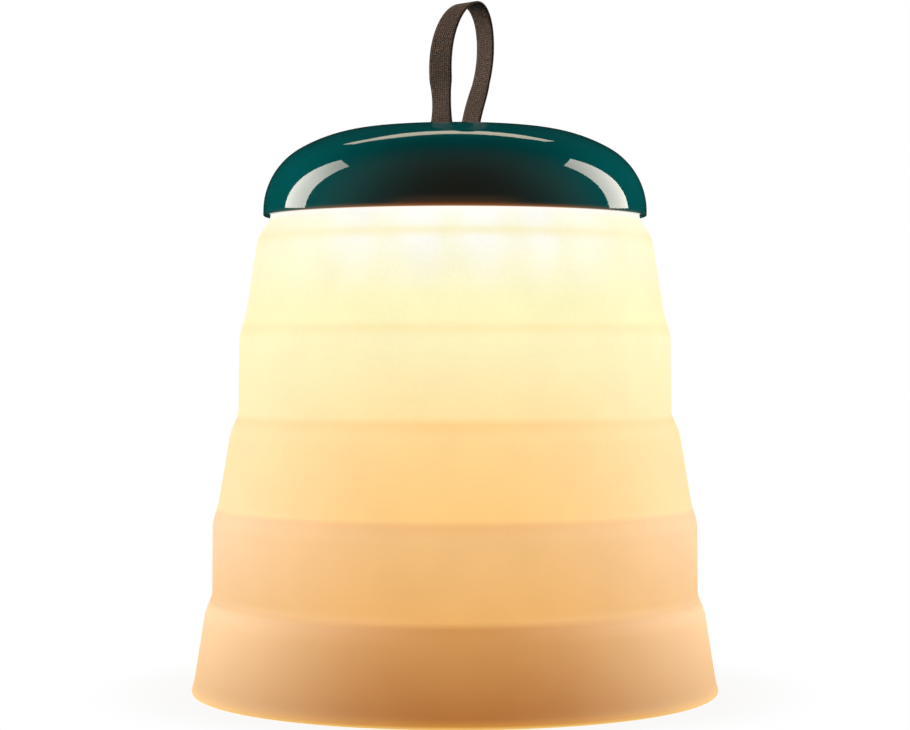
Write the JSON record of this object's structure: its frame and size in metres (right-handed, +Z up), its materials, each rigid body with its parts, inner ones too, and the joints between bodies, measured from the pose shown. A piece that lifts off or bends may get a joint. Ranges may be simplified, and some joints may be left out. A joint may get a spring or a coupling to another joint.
{
  "type": "camping lantern",
  "caption": "Collapsible camping lantern: stepped translucent silicone shade that folds into itself under a glossy domed lamp head with a ribbon hanging loop.",
  "frame": {"origin": "on the ground, under the middle of the shade's foot", "axes": "+Z up along the lamp's axis; the ribbon loop stands in the XZ plane and leans towards +X"},
  "size_m": [0.191, 0.191, 0.2501],
  "materials": {
    "shade_silicone": "translucent matte silicone, glowing warm from the lamp inside",
    "cap_plastic": "polished deep teal moulding",
    "ribbon": "woven dark brown polyester ribbon",
    "tray_plastic": "fine spark-eroded black moulding",
    "opal_plastic": "opal diffusing plastic, lit",
    "core_board": "white solder mask on a metal core",
    "led_package": "phosphor-filled LED package, lit",
    "lead_wire": "red insulated stranded wire",
    "circuit_board": "green solder mask",
    "component_plastic": "black moulded packages",
    "screw_steel": "zinc plated steel",
    "button_rubber": "soft matte rubber",
    "switch_plastic": "black moulding",
    "socket_steel": "nickel plated pressed shell",
    "cell_wrap": null,
    "cradle_plastic": "black moulding",
    "contact_nickel": "nickel strip"
  },
  "bodies": {
    "foot": {"foot_ring": "shade_silicone", "lower_fold_wall": "shade_silicone"},
    "middle": {"middle_ring": "shade_silicone", "upper_fold_wall": "shade_silicone"},
    "head": {"upper_ring": "shade_silicone", "cap_shell": "cap_plastic", "strap_root": "ribbon", "head_tray": "tray_plastic", "opal_lens": "opal_plastic", "led_board": "core_board", "leds": "led_package", "led_leads": "lead_wire", "driver_board": "circuit_board", "board_components": "component_plastic", "board_screws": "screw_steel", "tact_switch": "switch_plastic", "usb_socket": "socket_steel", "battery_cells": "cell_wrap", "battery_cradles": "cradle_plastic", "battery_contacts": "contact_nickel", "battery_leads": "lead_wire", "case_screws": "screw_steel"},
    "strap": {"strap_loop": "ribbon"},
    "button": {"power_button": "button_rubber", "switch_plunger": "switch_plastic"},
    "flap": {"port_flap": "button_rubber"}
  },
  "joints": [
    {"name": "lower_fold", "type": "slide", "parent": "foot", "child": "middle", "axis": [0, 0, -1], "range_m": [0, 0.061], "deforming": ["lower_fold_wall"]},
    {"name": "upper_fold", "type": "slide", "parent": "middle", "child": "head", "axis": [0, 0, -1], "range_m": [0, 0.069], "deforming": ["upper_fold_wall"]},
    {"name": "strap_swing", "type": "hinge", "parent": "head", "child": "strap", "pos_m": [0, 0, 0.2128], "axis": [0, 1, 0], "range_deg": [-65, 65], "stiffness_Nm_per_rad": 0.003, "deforming": ["strap_root"]},
    {"name": "button_press", "type": "slide", "parent": "head", "child": "button", "axis": [0, 0, 1], "range_m": [0, 0.001], "stiffness_N_per_m": 800},
    {"name": "flap_swing", "type": "hinge", "parent": "head", "child": "flap", "pos_m": [0.02, 0, 0.17], "axis": [0, -1, 0], "range_deg": [0, 85], "stiffness_Nm_per_rad": 0.0006}
  ]
}
